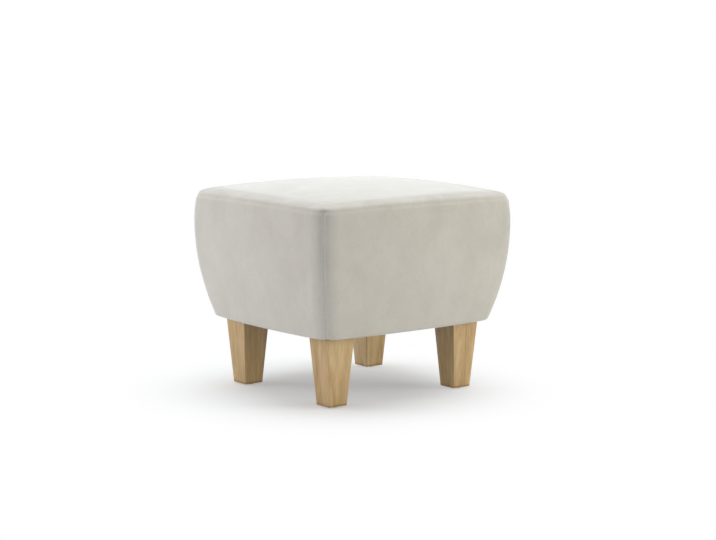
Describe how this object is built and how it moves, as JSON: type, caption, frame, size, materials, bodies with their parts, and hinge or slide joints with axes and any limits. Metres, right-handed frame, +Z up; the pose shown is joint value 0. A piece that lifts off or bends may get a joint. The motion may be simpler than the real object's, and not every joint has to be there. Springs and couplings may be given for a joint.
{
  "type": "upholstered stool",
  "caption": "Low velvet-covered stool with a padded, swelling square body, softly crowned seamed top and tapered wooden legs, for sitting or resting feet.",
  "frame": {"origin": "on the floor under the middle of the seat", "axes": "+Z up, -Y towards the front, +X to the right of the front"},
  "size_m": [0.515, 0.487, 0.415],
  "materials": {
    "velvet": "short-pile velvet, soft nap",
    "oak": "pale oak, clear matt lacquer",
    "plywood": "raw birch plywood",
    "pine": "raw planed pine",
    "beech": "raw beech dowel",
    "hardboard": "brown hardboard",
    "foam": "cut upholstery foam",
    "wadding": "white fibre wadding",
    "felt": "grey needle felt",
    "dust_cloth": "black non-woven cloth",
    "zinc_steel": "zinc-plated steel",
    "spring_steel": "black-lacquered spring wire",
    "glide_plastic": "dark polyethylene"
  },
  "bodies": {
    "root": {"base_board": "plywood", "clip_nails": "zinc_steel", "corner_post_front_left": "pine", "corner_post_front_right": "pine", "corner_post_rear_left": "pine", "corner_post_rear_right": "pine", "cover_front": "velvet", "cover_left": "velvet", "cover_rear": "velvet", "cover_right": "velvet", "cover_top": "velvet", "dust_cover": "dust_cloth", "glide_front_left": "glide_plastic", "glide_front_right": "glide_plastic", "glide_nails": "zinc_steel", "glide_rear_left": "glide_plastic", "glide_rear_right": "glide_plastic", "hem_staples": "zinc_steel", "leg_bolts": "zinc_steel", "leg_front_left": "oak", "leg_front_right": "oak", "leg_inserts": "zinc_steel", "leg_rear_left": "oak", "leg_rear_right": "oak", "post_screws": "zinc_steel", "rail_dowels": "beech", "seat_foam": "foam", "seat_rail_front": "pine", "seat_rail_left": "pine", "seat_rail_rear": "pine", "seat_rail_right": "pine", "seat_spring_1": "spring_steel", "seat_spring_2": "spring_steel", "seat_spring_3": "spring_steel", "seat_spring_4": "spring_steel", "seat_wadding": "wadding", "side_foam_front": "foam", "side_foam_left": "foam", "side_foam_rear": "foam", "side_foam_right": "foam", "side_panel_front": "hardboard", "side_panel_left": "hardboard", "side_panel_rear": "hardboard", "side_panel_right": "hardboard", "spring_clips": "zinc_steel", "spring_felt": "felt"}
  },
  "joints": []
}
